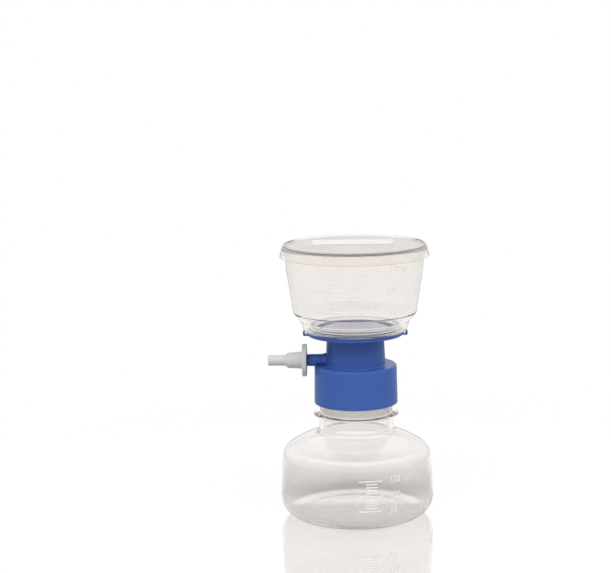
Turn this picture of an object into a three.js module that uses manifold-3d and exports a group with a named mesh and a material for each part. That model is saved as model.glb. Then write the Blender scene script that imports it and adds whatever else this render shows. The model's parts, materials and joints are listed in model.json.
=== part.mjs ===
// Vacuum filtration unit, 150 mL: a clear funnel with a lid, bonded over a 50 mm membrane to a
// screw-on neck adapter with a vacuum arm, standing on a clear receiver bottle.
//
// Millimetres, +Z up. Bottle, neck and funnel share the Z axis, the bottle stands on z = 0,
// and the vacuum arm points along -X. Turned outlines are lists of corners, each
// [radius, height, rounding], that run up the outside and down the inside.

import * as THREE from 'three';
import { mergeVertices, toCreasedNormals } from 'three/addons/utils/BufferGeometryUtils.js';
import Module from 'manifold-3d';

const wasm = await Module();
wasm.setup();

// ---------------------------------------------------------------- driving dimensions
const GAP = 0.3;                      // left between pieces that touch or are bonded
const SIDES = 36;                     // facets round a piece on the Z axis
const ARM_SIDES = 24;                 // facets round the vacuum arm
const CONNECTOR_SIDES = 32;
const BORE_SIDES = 16;
const CHORD_ERROR = 0.16;             // how far a facet may cut inside a rounding
const CREASE = THREE.MathUtils.degToRad(32);
const TURN = 2 * Math.PI;
const CHAMFER = TURN / 4;             // widest corner that one facet may stand for
const EDGE = 0.4;                     // rounding of an ordinary moulded edge
const SINK = 0.5;                     // how far a part of a moulding runs into the rest of it

const BOTTLE = {
  wall: 1.6,
  recessR: 30.8,                      // the base is dished inside its standing ring
  recessDepth: 0.9,
  ringR: 31.7,
  ringRounding: 0.6,
  bottomR: 46.6,                      // where the drafted side would meet the ground
  bottomRounding: 12.5,
  shoulderR: 44.2,
  shoulderZ: 40.2,
  shoulderRounding: 8,
  crownR: 33.8,                       // the shoulder flattens here on its way to the neck
  crownZ: 46.3,
  crownRounding: 30,
  neckRootR: 22.4,
  neckRootZ: 51.3,
  neckRootRounding: 2,
  neckR: 21.4,                        // 45 mm neck finish, without its thread
  neckZ: 69,                          // where the neck's draft ends
  neckRounding: 12,
  lipZ: 87.4,
  lipRounding: 0.5,
  beadR: 25.2,                        // transfer bead under the collar
  beadZ: 61.7,
  beadHalfHeight: 1.2,
};

const THREAD = {
  pitch: 4,
  turns: 1.5,
  bottomZ: 78.4,                      // middle of the bottle's ridge at its lower end
  neckCrestR: 22.45,
  collarCrestR: 21.95,
  footWidth: 1.9,
  crestWidth: 1.0,
  fadeTurns: 0.12,                    // each end dies into the wall over this much
  fadeSink: 0.1,                      // and ends this much below it
  flankGap: 0.3,
};

const ADAPTER = {
  bottomZ: 68.1,
  collarBottomR: 24.8,
  collarTopR: 24.4,
  collarTopRounding: 1.3,
  collarHeight: 23.0,
  collarRoof: 1.9,
  boreR: 22.95,
  boreMouthR: 23.55,
  boreMouthDepth: 2,
  tubeBottomR: 17.8,
  tubeTopR: 16.9,
  tubeRounding: 0.8,
  tubeTopRounding: 1.2,
  tubeWall: 1.7,
  flangeR: 28.4,
  flangeBottom: 41.1,                 // heights from here on are above the collar's mouth
  flangeThickness: 2.1,
  flangeRounding: 0.6,
  landR: 24.9,                        // flat ring that the membrane's rim lies on
  landInnerR: 22.4,
  landHeight: 1.6,
};

const DRAIN = {
  rimDrop: 1.4,                       // drained floor below the land, at its rim
  slope: 1.2,                         // and how much further it falls to the spout
  underside: 40.4,
  spoutR: 5.6,
  spoutTipR: 4.5,
  spoutTip: 21.6,
  mouthR: 4.7,
  throatR: 3.9,
  throatDepth: 1,
  tipBoreR: 3.3,
  rounding: 1.5,
  ribs: 24,                           // every second one is short
  longRibStart: 6.2,
  shortRibStart: 12.5,
  ribThickness: 0.9,
  ribDrop: 0.15,                      // rib tops lie this much below the land
};

const CATCH = {                       // two hooks that stand out of the flange, on X
  reach: 31.0,
  width: 5.0,
  drop: 0.5,
  floor: 0.9,
  tooth: 1.5,
  height: 2.5,
  lead: 0.8,                          // slope down the inner side of the tooth
  overlap: 1.2,
};

const ARM = {
  height: 25.6,                       // axis above the collar's mouth
  start: 16.4,
  rootR: 4.2,
  rootEnd: 18.0,
  taperEnd: 19.8,
  taperRounding: 2,
  r: 3.63,
  shoulder: 28.7,
  spigotR: 3.0,
  tip: 38.7,
  boreR: 1.8,
  boreStart: 13.4,
};

const CONNECTOR = {
  flangeR: 9.7,
  flangeThickness: 2.7,
  wideR: 5.1,
  wideEndR: 4.6,
  wideEnd: 11.3,
  narrowStart: 12.9,
  narrowR: 3.2,
  length: 23.05,
  tipRounding: 0.6,
  socketR: 3.35,
  socketDepth: 10.6,
  boreR: 1.7,
};

const PLUG = { r: 1.5, length: 8, inset: 1.5 };

const SEAL = { innerR: 19.9, outerR: 22.6, rounding: 0.3 };

const MEMBRANE = { r: 24.7, thickness: 0.3 };

const FUNNEL = {
  wall: 1.4,
  footR: 30.4,
  footRounding: 2.4,
  bowlR: 33.3,                        // top of the bowl that carries the membrane seat
  bowlHeight: 7.4,
  bowlRounding: 1.5,
  shoulderR: 36.3,
  shoulderHeight: 9.3,
  shoulderRounding: 2.2,
  sideR: 40.25,                       // the wall steepens here
  sideHeight: 35.8,
  sideRounding: 50,
  rimR: 41.2,
  rimHeight: 49.5,
  floorHeight: 3.7,
  floorRounding: 2,
  seatR: 25.3,                        // recess that drops over the adapter's land
  seatHeight: 2.2,
  mouthR: 23.6,
  mouthBevel: 0.3,
};

const LID = {
  height: 7.4,
  mouthR: 44.15,
  skirtThickness: 1.05,
  waistR: 42.7,
  waistHeight: 4.4,
  waistRounding: 3,
  topR: 42.1,
  cornerR: 41.75,                     // where the skirt's inside meets the panel
  cornerRounding: 0.3,
  panelR: 40.4,                       // panel inside a raised stacking rim
  panelDrop: 1.0,
  panelThickness: 1.1,
  ribs: 15,                           // one in front; they centre the lid on the funnel's rim
  ribInnerR: 41.6,
  ribOuterR: 42.3,
  ribThickness: 0.7,
  ribBottom: 1.4,
  ribSink: 0.2,
};

// ---------------------------------------------------------------- levels that follow

const collarRoofUnderside = ADAPTER.collarHeight - ADAPTER.collarRoof;
const flangeTop = ADAPTER.flangeBottom + ADAPTER.flangeThickness;
const landTop = flangeTop + ADAPTER.landHeight;
const drainRimHeight = landTop - DRAIN.rimDrop;
const drainLowHeight = drainRimHeight - DRAIN.slope;
const lidPanelTop = LID.height - LID.panelDrop;
const lidPanelUnderside = lidPanelTop - LID.panelThickness;
const sealThickness = ADAPTER.bottomZ + collarRoofUnderside - BOTTLE.lipZ - 2 * GAP;

// ---------------------------------------------------------------- shaping tools

/** Points of an outline whose corners are rounded. Each corner is [radius, height, rounding]. */
function roundedOutline(corners, closed) {
  const points = corners.map(([r, z]) => new THREE.Vector2(r, z));
  return points.flatMap((corner, i) => {
    const rounding = corners[i][2] ?? 0;
    const before = closed ? points.at(i - 1) : points[i - 1];
    const after = closed ? points[(i + 1) % points.length] : points[i + 1];
    if (!rounding || !before || !after) return [corner];
    const back = before.clone().sub(corner).normalize();
    const ahead = after.clone().sub(corner).normalize();
    const half = Math.acos(THREE.MathUtils.clamp(back.dot(ahead), -1, 1)) / 2;
    const middle = back.clone().add(ahead).setLength(rounding / Math.sin(half)).add(corner);
    const from = corner.clone().addScaledVector(back, rounding / Math.tan(half)).sub(middle);
    const sweep = (Math.PI - 2 * half) * Math.sign(ahead.cross(back));
    const steps = Math.ceil(Math.abs(sweep) / arcStep(rounding));
    return Array.from({ length: steps + 1 }, (_, k) =>
      from.clone().rotateAround(new THREE.Vector2(), (sweep * k) / steps).add(middle));
  });
}

/** The largest angle one facet of a rounding may span: a small one is a single chamfer. */
function arcStep(rounding) {
  const cut = Math.min(CHORD_ERROR / rounding, 1);
  return Math.min(2 * Math.acos(1 - cut), CHAMFER);
}

/** The same corners moved to the left of the outline's direction by a wall's thickness. */
function insideWall(corners, wall) {
  const points = corners.map(([r, z]) => new THREE.Vector2(r, z));
  const normals = points.slice(1).map((point, i) => {
    const along = point.clone().sub(points[i]).normalize();
    return new THREE.Vector2(-along.y, along.x);
  });
  return points.map((point, i) => {
    const before = normals[i - 1] ?? normals[i];
    const after = normals[i] ?? normals[i - 1];
    const bend = before.clone().add(after);
    const moved = point.clone().addScaledVector(bend, (2 * wall) / bend.lengthSq());
    const inner = before.cross(after) > 0 ? -wall : wall;
    const rounding = corners[i][2] ? Math.max(corners[i][2] + inner, 0) : 0;
    return [moved.x, moved.y, rounding];
  });
}

/** The outline of a vessel: up its outside, over a rounded lip, and down inside its wall. */
function vesselOutline(outside, wall, lipRounding) {
  const inside = insideWall(outside, wall).reverse();
  const asLip = ([r, z]) => [r, z, lipRounding];
  return [...outside.slice(0, -1), asLip(outside.at(-1)), asLip(inside[0]), ...inside.slice(1)];
}

/** A closed solid for manifold-3d, from any closed three.js geometry. */
function toSolid(geometry) {
  geometry.deleteAttribute('normal');
  geometry.deleteAttribute('uv');
  const merged = mergeVertices(geometry);
  const corners = merged.index.array;
  const kept = [];
  for (let i = 0; i < corners.length; i += 3) {
    const [a, b, c] = corners.slice(i, i + 3);
    if (a !== b && b !== c && c !== a) kept.push(a, b, c);
  }
  return new wasm.Manifold(new wasm.Mesh({
    numProp: 3,
    vertProperties: merged.attributes.position.array,
    triVerts: new Uint32Array(kept),
  }));
}

/** The surface of a solid, as a three.js geometry. */
function toGeometry(solid) {
  const { vertProperties, triVerts } = solid.getMesh();
  const geometry = new THREE.BufferGeometry();
  geometry.setAttribute('position', new THREE.BufferAttribute(vertProperties, 3));
  geometry.setIndex(new THREE.BufferAttribute(triVerts, 1));
  return geometry;
}

/** A named mesh from a solid, in its material. */
function piece(name, solid, material) {
  const mesh = new THREE.Mesh(toCreasedNormals(toGeometry(solid), CREASE), material);
  mesh.name = name;
  return mesh;
}

/** Joins a list of solids. */
const joined = (solids) => solids.reduce((whole, solid) => whole.add(solid));

/** A solid turned round +Z. A closed outline makes a ring; an open one starts and ends on Z. */
function turned(corners, { closed = false, sides = SIDES } = {}) {
  const outline = roundedOutline(corners, closed);
  if (closed) outline.push(outline[0].clone());
  return toSolid(new THREE.LatheGeometry(outline, sides).rotateX(Math.PI / 2));
}

/** A box that runs outwards from Z between two radii, and up between two heights. */
function radialBar([innerR, outerR], [low, high], thickness, angle) {
  const bar = new THREE.BoxGeometry(outerR - innerR, thickness, high - low);
  return toSolid(bar.translate((innerR + outerR) / 2, 0, (low + high) / 2).rotateZ(angle));
}

/** A right-hand thread ridge round +Z, from a wall to its crest, that fades out at both ends. */
function threadRidge(wallR, crestR, lowZ) {
  const outwards = Math.sign(crestR - wallR);
  const footR = wallR - outwards * SINK;
  const fadedR = wallR - outwards * THREAD.fadeSink;
  const steps = Math.round(THREAD.turns * SIDES);
  const fadeSteps = THREAD.fadeTurns * SIDES;
  const positions = [];
  const faces = [];
  for (let i = 0; i <= steps; i++) {
    const turns = i / SIDES;
    const angle = turns * TURN;
    const z = lowZ + turns * THREAD.pitch;
    const fullness = Math.min(1, i / fadeSteps, (steps - i) / fadeSteps);
    const r = THREE.MathUtils.lerp(fadedR, crestR, fullness);
    const section = [
      [footR, -THREAD.footWidth / 2],
      [r, -THREAD.crestWidth / 2],
      [r, THREAD.crestWidth / 2],
      [footR, THREAD.footWidth / 2],
    ];
    if (outwards > 0) section.reverse();
    for (const [sectionR, height] of section) {
      positions.push(sectionR * Math.cos(angle), sectionR * Math.sin(angle), z + height);
    }
  }
  for (let i = 0; i < steps; i++) {
    for (let k = 0; k < 4; k++) {
      const here = 4 * i + k;
      const beside = 4 * i + ((k + 1) % 4);
      faces.push(here, beside, beside + 4, here, beside + 4, here + 4);
    }
  }
  const end = 4 * steps;
  faces.push(0, 2, 1, 0, 3, 2);
  faces.push(end, end + 1, end + 2, end, end + 2, end + 3);
  const geometry = new THREE.BufferGeometry();
  geometry.setAttribute('position', new THREE.Float32BufferAttribute(positions, 3));
  geometry.setIndex(faces);
  return toSolid(geometry);
}

/** Lays a solid that was turned round +Z along -X, on the arm's axis. */
function onArmAxis(solid) {
  return toSolid(toGeometry(solid).rotateY(-Math.PI / 2).translate(0, 0, ARM.height));
}

// ---------------------------------------------------------------- pieces

/** Blown bottle: dished base, drafted side, domed shoulder, threaded neck with a bead. */
function bottleSolid() {
  const b = BOTTLE;
  const beadRootR = b.neckR - SINK;
  const shell = turned(vesselOutline([
    [0, b.recessDepth],
    [b.recessR, b.recessDepth, b.ringRounding],
    [b.ringR, 0, b.ringRounding],
    [b.bottomR, 0, b.bottomRounding],
    [b.shoulderR, b.shoulderZ, b.shoulderRounding],
    [b.crownR, b.crownZ, b.crownRounding],
    [b.neckRootR, b.neckRootZ, b.neckRootRounding],
    [b.neckR, b.neckZ, b.neckRounding],
    [b.neckR, b.lipZ],
  ], b.wall, b.lipRounding));
  const bead = turned([
    [beadRootR, b.beadZ - b.beadHalfHeight],
    [b.beadR, b.beadZ - b.beadHalfHeight / 2, EDGE],
    [b.beadR, b.beadZ + b.beadHalfHeight / 2, EDGE],
    [beadRootR, b.beadZ + b.beadHalfHeight],
  ], { closed: true });
  return joined([shell, bead, threadRidge(b.neckR, THREAD.neckCrestR, THREAD.bottomZ)]);
}

/** Gasket between the bottle's lip and the collar's roof. */
function sealSolid() {
  const { innerR, outerR, rounding } = SEAL;
  return turned([
    [innerR, 0],
    [outerR, 0, rounding],
    [outerR, sealThickness, rounding],
    [innerR, sealThickness],
  ], { closed: true });
}

/** One moulding: threaded collar, waist tube, flange with a drained membrane seat, arm. */
function adapterSolid() {
  const a = ADAPTER;
  const d = DRAIN;
  const shell = turned([
    [a.collarBottomR, 0, EDGE],
    [a.collarTopR, a.collarHeight, a.collarTopRounding],
    [a.tubeBottomR, a.collarHeight, a.tubeRounding],
    [a.tubeTopR, a.flangeBottom, a.tubeTopRounding],
    [a.flangeR, a.flangeBottom, a.flangeRounding],
    [a.flangeR, flangeTop, a.flangeRounding],
    [a.landR, flangeTop],
    [a.landR, landTop, EDGE],
    [a.landInnerR, landTop],
    [a.landInnerR, drainRimHeight],
    [d.mouthR, drainLowHeight, d.rounding],
    [d.throatR, drainLowHeight - d.throatDepth],
    [d.tipBoreR, d.spoutTip],
    [d.spoutTipR, d.spoutTip],
    [d.spoutR, d.underside, d.rounding],
    [a.tubeTopR - a.tubeWall, d.underside, d.rounding],
    [a.tubeBottomR - a.tubeWall, collarRoofUnderside],
    [a.boreR, collarRoofUnderside, EDGE],
    [a.boreR, a.boreMouthDepth],
    [a.boreMouthR, 0],
  ], { closed: true });
  const ridgeLowZ = THREAD.bottomZ - a.bottomZ - THREAD.flankGap - ridgeWidthAtMesh();
  return joined([
    shell,
    threadRidge(a.boreR, THREAD.collarCrestR, ridgeLowZ),
    armSolid(),
    ...drainRibs(),
    ...flangeCatches(),
  ]).subtract(armBore());
}

/** Mean width of the two ridges where they pass each other, halfway between their crests. */
function ridgeWidthAtMesh() {
  const depth = (THREAD.collarCrestR + THREAD.neckCrestR) / 2 - BOTTLE.neckR;
  const share = depth / (THREAD.neckCrestR - BOTTLE.neckR);
  return THREE.MathUtils.lerp(THREAD.footWidth, THREAD.crestWidth, share);
}

/** Radial ribs that hold the membrane off the drained floor. */
function drainRibs() {
  const d = DRAIN;
  const outerR = ADAPTER.landInnerR + SINK;
  return Array.from({ length: d.ribs }, (_, i) => {
    const innerR = i % 2 ? d.shortRibStart : d.longRibStart;
    const levels = [drainLowHeight - SINK, landTop - d.ribDrop];
    return radialBar([innerR, outerR], levels, d.ribThickness, (i / d.ribs) * TURN);
  });
}

/** Two small hooked catches on the flange, one at each end of X. */
function flangeCatches() {
  const c = CATCH;
  const root = ADAPTER.flangeR - c.overlap;
  const low = ADAPTER.flangeBottom - c.drop;
  const hook = new THREE.Shape([
    new THREE.Vector2(root, low),
    new THREE.Vector2(c.reach, low),
    new THREE.Vector2(c.reach, low + c.height),
    new THREE.Vector2(c.reach - c.tooth / 2, low + c.height),
    new THREE.Vector2(c.reach - c.tooth, low + c.height - c.lead),
    new THREE.Vector2(c.reach - c.tooth, low + c.floor),
    new THREE.Vector2(root, low + c.floor),
  ]);
  return [0, TURN / 2].map((angle) => {
    const bar = new THREE.ExtrudeGeometry(hook, { depth: c.width, bevelEnabled: false });
    return toSolid(bar.translate(0, 0, -c.width / 2).rotateX(Math.PI / 2).rotateZ(angle));
  });
}

/** Vacuum arm out of the tube, with a thinner spigot for the hose connector. */
function armSolid() {
  const a = ARM;
  return onArmAxis(turned([
    [0, a.start],
    [a.rootR, a.start],
    [a.rootR, a.rootEnd],
    [a.r, a.taperEnd, a.taperRounding],
    [a.r, a.shoulder, EDGE],
    [a.spigotR, a.shoulder],
    [a.spigotR, a.tip, EDGE],
    [0, a.tip],
  ], { sides: ARM_SIDES }));
}

/** The passage from the arm's tip into the tube. */
function armBore() {
  const a = ARM;
  return onArmAxis(turned([
    [0, a.boreStart],
    [a.boreR, a.boreStart],
    [a.boreR, a.tip + SINK],
    [0, a.tip + SINK],
  ], { sides: BORE_SIDES }));
}

/** Stepped hose connector, its flange on z = 0 and its tip up +Z. */
function connectorSolid() {
  const c = CONNECTOR;
  return turned([
    [c.flangeR, 0, EDGE],
    [c.flangeR, c.flangeThickness, EDGE],
    [c.wideR, c.flangeThickness, EDGE],
    [c.wideEndR, c.wideEnd, EDGE],
    [c.narrowR, c.narrowStart, EDGE],
    [c.narrowR, c.length, c.tipRounding],
    [c.boreR, c.length],
    [c.boreR, c.socketDepth],
    [c.socketR, c.socketDepth],
    [c.socketR, 0],
  ], { closed: true, sides: CONNECTOR_SIDES });
}

/** A plain disc or rod that stands on z = 0. */
function rodSolid(r, height, sides) {
  return turned([[0, 0], [r, 0], [r, height], [0, height]], { sides });
}

/** Funnel: a bowl with a seat for the membrane, a shoulder, and a tapered wall to the rim. */
function funnelSolid() {
  const f = FUNNEL;
  const walls = vesselOutline([
    [f.footR, 0, f.footRounding],
    [f.bowlR, f.bowlHeight, f.bowlRounding],
    [f.shoulderR, f.shoulderHeight, f.shoulderRounding],
    [f.sideR, f.sideHeight, f.sideRounding],
    [f.rimR, f.rimHeight],
  ], f.wall, EDGE);
  const floorR = radiusAtHeight(walls.slice(-2), f.floorHeight);
  return turned([
    ...walls.slice(0, -1),
    [floorR, f.floorHeight, f.floorRounding],
    [f.mouthR, f.floorHeight - f.mouthBevel, f.mouthBevel],
    [f.mouthR, f.seatHeight],
    [f.seatR, f.seatHeight],
    [f.seatR, 0],
  ], { closed: true });
}

/** Radius where the line through two corners passes a height. */
function radiusAtHeight([[r0, z0], [r1, z1]], height) {
  return THREE.MathUtils.mapLinear(height, z0, z1, r0, r1);
}

/** Lid: flat panel in a raised rim, flared skirt, and small ribs inside it. */
function lidSolid() {
  const l = LID;
  const shell = turned([
    [0, lidPanelUnderside],
    [l.cornerR, lidPanelUnderside, l.cornerRounding],
    [l.mouthR - l.skirtThickness, 0],
    [l.mouthR, 0, EDGE],
    [l.waistR, l.waistHeight, l.waistRounding],
    [l.topR, l.height, EDGE],
    [l.panelR, l.height, l.cornerRounding],
    [l.panelR - l.cornerRounding, lidPanelTop, l.cornerRounding],
    [0, lidPanelTop],
  ]);
  const levels = [l.ribBottom, lidPanelUnderside + l.ribSink];
  const ribs = Array.from({ length: l.ribs }, (_, i) =>
    radialBar([l.ribInnerR, l.ribOuterR], levels, l.ribThickness, (i / l.ribs - 1 / 4) * TURN));
  return joined([shell, ...ribs]);
}

// ---------------------------------------------------------------- materials

/** A clear moulded plastic. */
function clearPlastic(opacity) {
  return new THREE.MeshStandardMaterial({
    color: 0xf1efeb, roughness: 0.08, metalness: 0, transparent: true, opacity,
  });
}

/** A solid plastic, rubber or sheet. */
function plainMaterial(color, roughness) {
  return new THREE.MeshStandardMaterial({ color, roughness, metalness: 0 });
}

// ---------------------------------------------------------------- assembly

const bottle = piece('receiver_bottle', bottleSolid(), clearPlastic(0.3));

const seal = piece('neck_seal', sealSolid(), plainMaterial(0xe3e0da, 0.7));
seal.position.z = BOTTLE.lipZ + GAP;

const adapter = piece('neck_adapter', adapterSolid(), plainMaterial(0x33509b, 0.28));
adapter.position.z = ADAPTER.bottomZ;

const membraneDisc = rodSolid(MEMBRANE.r, MEMBRANE.thickness, SIDES);
const membrane = piece('membrane_filter', membraneDisc, plainMaterial(0xf2f2f0, 0.95));
membrane.position.z = ADAPTER.bottomZ + landTop + GAP;

const funnel = piece('upper_chamber', funnelSolid(), clearPlastic(0.3));
funnel.position.z = ADAPTER.bottomZ + flangeTop + GAP;

// The panel lies on the funnel's rim.
const lid = piece('chamber_lid', lidSolid(), clearPlastic(0.4));
lid.position.z = funnel.position.z + FUNNEL.rimHeight + GAP - lidPanelUnderside;

// The arm's own pieces lie along -X, one after another on its axis.
const armLine = new THREE.Group();
armLine.position.z = ADAPTER.bottomZ + ARM.height;
armLine.rotation.y = -Math.PI / 2;

const plugRod = rodSolid(PLUG.r, PLUG.length, BORE_SIDES);
const plug = piece('port_filter_plug', plugRod, plainMaterial(0xf4f2ec, 1));
plug.position.z = ARM.tip - PLUG.inset - PLUG.length;

const connector = piece('tubing_adapter', connectorSolid(), plainMaterial(0xcfcfcd, 0.45));
connector.position.z = ARM.shoulder + GAP;

armLine.add(plug, connector);

const unit = new THREE.Group();
unit.name = 'vacuum_filtration_unit';
unit.add(bottle, seal, adapter, membrane, funnel, lid, armLine);

export default unit;
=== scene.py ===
# %% [markdown]
# # A vacuum filtration unit, piece by piece
# The unit has eight pieces: a blown receiver bottle, a blue neck adapter that screws onto it, a
# gasket, a fibre plug, a hose connector, a membrane, a funnel and a lid. Nearly all of them are
# bodies of revolution, so one way of working serves for most: draw half of the section as a
# person would on paper, round its corners, and spin it round the axis.
#
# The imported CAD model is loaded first. It is the fixed frame that every piece is fitted to.

# %% Load the frame
import json
import math

import bmesh
import bpy
from mathutils import Matrix, Vector


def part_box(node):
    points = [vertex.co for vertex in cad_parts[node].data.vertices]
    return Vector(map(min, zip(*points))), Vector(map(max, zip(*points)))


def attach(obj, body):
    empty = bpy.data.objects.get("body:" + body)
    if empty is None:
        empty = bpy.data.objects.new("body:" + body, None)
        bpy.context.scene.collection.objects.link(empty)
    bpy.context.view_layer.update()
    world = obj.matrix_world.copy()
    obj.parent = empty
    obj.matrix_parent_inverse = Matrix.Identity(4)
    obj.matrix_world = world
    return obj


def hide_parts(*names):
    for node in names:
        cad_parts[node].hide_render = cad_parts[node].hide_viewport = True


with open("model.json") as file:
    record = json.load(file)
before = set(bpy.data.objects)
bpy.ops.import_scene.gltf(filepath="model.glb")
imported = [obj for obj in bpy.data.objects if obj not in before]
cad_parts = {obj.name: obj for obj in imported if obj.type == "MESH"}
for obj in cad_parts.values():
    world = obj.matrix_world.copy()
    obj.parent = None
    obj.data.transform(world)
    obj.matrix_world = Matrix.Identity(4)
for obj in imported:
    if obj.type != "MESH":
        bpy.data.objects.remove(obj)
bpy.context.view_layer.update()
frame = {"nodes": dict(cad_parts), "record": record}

body_of_node = {
    node: body
    for body, nodes in frame["record"]["behaviour"]["bodies"].items()
    for node in nodes
}
print("nodes:", sorted(frame["nodes"]))

# %% [markdown]
# ## Working by hand, in code
# Operators act on everything that is selected, so each step starts by deselecting all of it.
# The small helpers here do that, and pick vertices by where they are, as one would with a
# mouse. Sizes are written in millimetres, as on a drawing, and MM turns them into metres.

# %% Selecting and finishing
MM = 0.001
TOUCHING = 0.001 * MM           # vertices closer than this are one
FULL_TURN = 2 * math.pi
FRONT = -FULL_TURN / 4          # the side of -Y, as an angle round Z from +X
SMOOTH_BELOW = math.radians(22) # a sharper bend between two faces stays an edge


def select_only(piece):
    """Leaves one piece selected and active."""
    bpy.ops.object.select_all(action="DESELECT")
    piece.select_set(True)
    bpy.context.view_layer.objects.active = piece


def added(name, operator, **settings):
    """The object that an operator adds while nothing is selected, under its name."""
    bpy.ops.object.select_all(action="DESELECT")
    operator(**settings)
    bpy.context.object.name = name
    return bpy.context.object


def pick(piece, wanted):
    """In edit mode, selects the vertices whose place is wanted."""
    bpy.ops.mesh.select_all(action="DESELECT")
    mesh = bmesh.from_edit_mesh(piece.data)
    for vertex in mesh.verts:
        vertex.select_set(wanted(vertex.co))
    mesh.select_flush_mode()
    bmesh.update_edit_mesh(piece.data)


def open_all(piece):
    """Opens a piece in edit mode with all of it selected."""
    select_only(piece)
    bpy.ops.object.mode_set(mode="EDIT")
    bpy.ops.mesh.select_all(action="SELECT")


def face_outwards():
    """Turns every face of the open mesh outwards and leaves edit mode."""
    bpy.ops.mesh.select_all(action="SELECT")
    bpy.ops.mesh.normals_make_consistent(inside=False)
    bpy.ops.object.mode_set(mode="OBJECT")


def apply_modifier(piece, kind, **settings):
    """Adds a modifier to a piece and applies it."""
    select_only(piece)
    modifier = piece.modifiers.new(kind.lower(), kind)
    for name, value in settings.items():
        setattr(modifier, name, value)
    bpy.ops.object.modifier_apply(modifier=modifier.name)


def tell(piece):
    """Prints a piece's faces and its size in millimetres."""
    size = " x ".join(f"{side / MM:.1f}" for side in piece.dimensions)
    print(f"{piece.name}: {len(piece.data.polygons)} faces, {size} mm")


def finish_surface(piece, material):
    """Smooth shading that follows the large faces, and the piece's material."""
    select_only(piece)
    bpy.ops.object.shade_smooth_by_angle(angle=SMOOTH_BELOW)
    apply_modifier(piece, "WEIGHTED_NORMAL", keep_sharp=True)
    piece.data.materials.clear()
    piece.data.materials.append(material)
    tell(piece)


def seat(piece, node, material):
    """The piece stands for a CAD node: it rides on the node's body and hides the node."""
    finish_surface(piece, material)
    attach(piece, body_of_node[node])
    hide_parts(node)


def seat_on(piece, node, material):
    """A small piece that is part of a node's moulding: it rides along and hides nothing."""
    finish_surface(piece, material)
    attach(piece, body_of_node[node])


# %% [markdown]
# ## Turned pieces
# A half section is drawn from a single point: a plane is added, merged to its centre, moved to
# the first corner and extruded from corner to corner. Each corner is then bevelled as a vertex,
# which rounds it, and the section is spun. The same section could be a curve with a Screw
# modifier, but the extruded line keeps the corners in plain sight, as [radius, height, rounding].

# %% Draw, round and spin
SPIN_STEPS = 144
ARC_STEP = math.radians(9)


def upright(radius, height):
    """A corner of an upright piece, in the plane of X and Z."""
    return Vector((radius * MM, 0, height * MM))


def draw_wire(name, points):
    """One wire from point to point, left in edit mode."""
    piece = added(name, bpy.ops.mesh.primitive_plane_add, size=MM, location=(0, 0, 0))
    bpy.ops.object.mode_set(mode="EDIT")
    bpy.ops.mesh.select_mode(type="VERT")
    bpy.ops.mesh.merge(type="CENTER")
    bpy.ops.transform.translate(value=points[0])
    for start, end in zip(points, points[1:]):
        bpy.ops.mesh.extrude_vertices_move(TRANSFORM_OT_translate={"value": end - start})
    return piece


def close_wire(piece, first, last):
    """Joins the wire's two ends."""
    pick(piece, lambda point: min((point - first).length, (point - last).length) < TOUCHING)
    bpy.ops.mesh.edge_face_add()


def round_corner(piece, before, corner, after, rounding):
    """Bevels one vertex of the wire into an arc of about this radius."""
    opening = (before - corner).angle(after - corner)
    sweep = math.pi - opening
    pick(piece, lambda point: (point - corner).length < TOUCHING)
    bpy.ops.mesh.bevel(
        offset=rounding * MM / math.tan(opening / 2),
        offset_type="OFFSET",
        segments=max(2, math.ceil(sweep / ARC_STEP)),
        affect="VERTICES",
    )


def draw_section(name, corners, place, closed):
    """The wire through the corners, each rounded as it says, left in edit mode."""
    points = [place(radius, height) for radius, height, *_ in corners]
    piece = draw_wire(name, points)
    if closed:
        close_wire(piece, points[0], points[-1])
    for i, corner in enumerate(corners):
        if len(corner) > 2 and (closed or 0 < i < len(corners) - 1):
            before, after = points[i - 1], points[(i + 1) % len(points)]
            round_corner(piece, before, points[i], after, corner[2])
    return piece


def turned(name, corners, closed=False, place=upright, centre=(0, 0, 0), axis=(0, 0, 1),
           steps=SPIN_STEPS):
    """A piece spun from its half section. An open section starts and ends on the axis."""
    piece = draw_section(name, corners, place, closed)
    bpy.ops.mesh.select_all(action="SELECT")
    bpy.ops.mesh.spin(steps=steps, angle=FULL_TURN, center=centre, axis=axis)
    bpy.ops.mesh.select_all(action="SELECT")
    bpy.ops.mesh.remove_doubles(threshold=TOUCHING)
    face_outwards()
    return piece


# %% [markdown]
# The bottle and the funnel are thin walls. Their inner outline follows from the outer one: each
# side moves inwards by its wall's thickness, the corners go where the moved sides meet, and
# each rounding grows or shrinks by as much.

# %% The inside of a wall
NEARLY_STRAIGHT = 0.2           # the cross product of two sides that hardly bend


def inner_corner(corner, before, after, wall_before, wall_after):
    """Where two sides meet after each has moved along its normal by its wall."""
    cross = before.x * after.y - before.y * after.x
    if abs(cross) < NEARLY_STRAIGHT:
        bend = before + after
        return corner + bend * ((wall_before + wall_after) / bend.length_squared)
    return corner + Vector((wall_before * after.y - wall_after * before.y,
                            wall_after * before.x - wall_before * after.x)) / cross


def inner_outline(corners, walls):
    """The corners moved to the left of the line's direction, each side by its own wall."""
    points = [Vector(corner[:2]) for corner in corners]
    sides = [(b - a).normalized().orthogonal() for a, b in zip(points, points[1:])]
    inner = []
    for i, corner in enumerate(corners):
        first, last = max(i - 1, 0), min(i, len(sides) - 1)
        radius, height = inner_corner(points[i], sides[first], sides[last],
                                      walls[first], walls[last])
        turns_in = sides[first].x * sides[last].y - sides[first].y * sides[last].x > 0
        wall = (walls[first] + walls[last]) / 2
        grown = (corner[2] if len(corner) > 2 else 0) + (-wall if turns_in else wall)
        inner.append((radius, height, grown) if len(corner) > 2 and grown > 0 else (radius, height))
    return inner


def vessel(outside, walls, lip):
    """Corners up the outside, over a rounded lip, and down the inside."""
    inside = inner_outline(outside, walls)[::-1]
    return [*outside[:-1], (*outside[-1][:2], lip), (*inside[0][:2], lip), *inside[1:]]


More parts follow.
